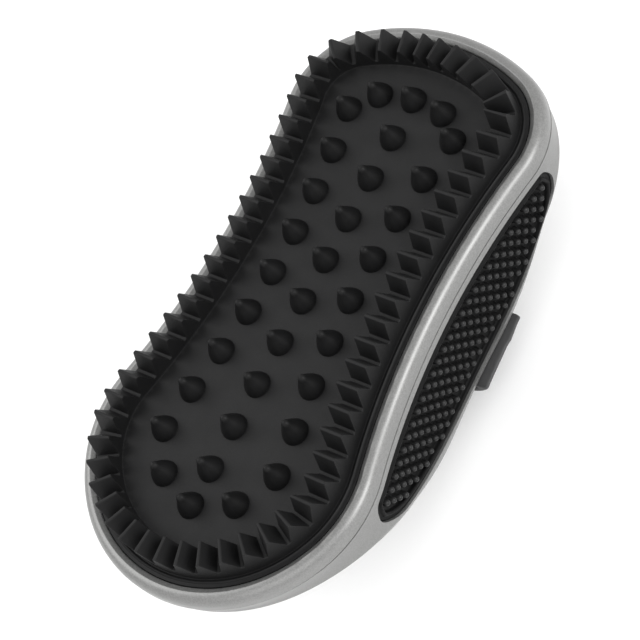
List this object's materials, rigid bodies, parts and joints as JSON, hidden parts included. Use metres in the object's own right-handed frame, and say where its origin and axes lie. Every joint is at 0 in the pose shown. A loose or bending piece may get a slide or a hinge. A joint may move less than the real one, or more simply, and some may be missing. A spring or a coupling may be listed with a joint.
{
  "type": "rubber curry brush",
  "caption": "Palm-held rubber curry brush with an hourglass silver handle, side grips, a hand strap and a toothed rubber pad with massage cones, lying on its back.",
  "frame": {"origin": "on the surface the brush lies on, under the middle of its outline", "axes": "+X towards the narrow toe end, +Y across the brush, +Z the way the rubber teeth point"},
  "size_m": [0.1632, 0.0854, 0.0571],
  "materials": {
    "pad_rubber": "matt moulded rubber, faint sheen on the crests",
    "silver_plastic": "satin silver paint over moulded plastic",
    "plate_plastic": "plain moulded plastic",
    "steel": "zinc plated steel",
    "grip_rubber": "soft moulded rubber with small nubs",
    "strap_rubber": "smooth moulded rubber"
  },
  "bodies": {
    "root": {"rubber_pad": "pad_rubber", "bezel_ring": "silver_plastic", "backing_plate": "plate_plastic", "plate_screws": "steel", "handle_shell": "silver_plastic", "grip_left": "grip_rubber", "grip_right": "grip_rubber", "grip_washers": "steel", "hand_strap": "strap_rubber", "strap_pin_left": "steel", "strap_pin_right": "steel"}
  },
  "joints": []
}
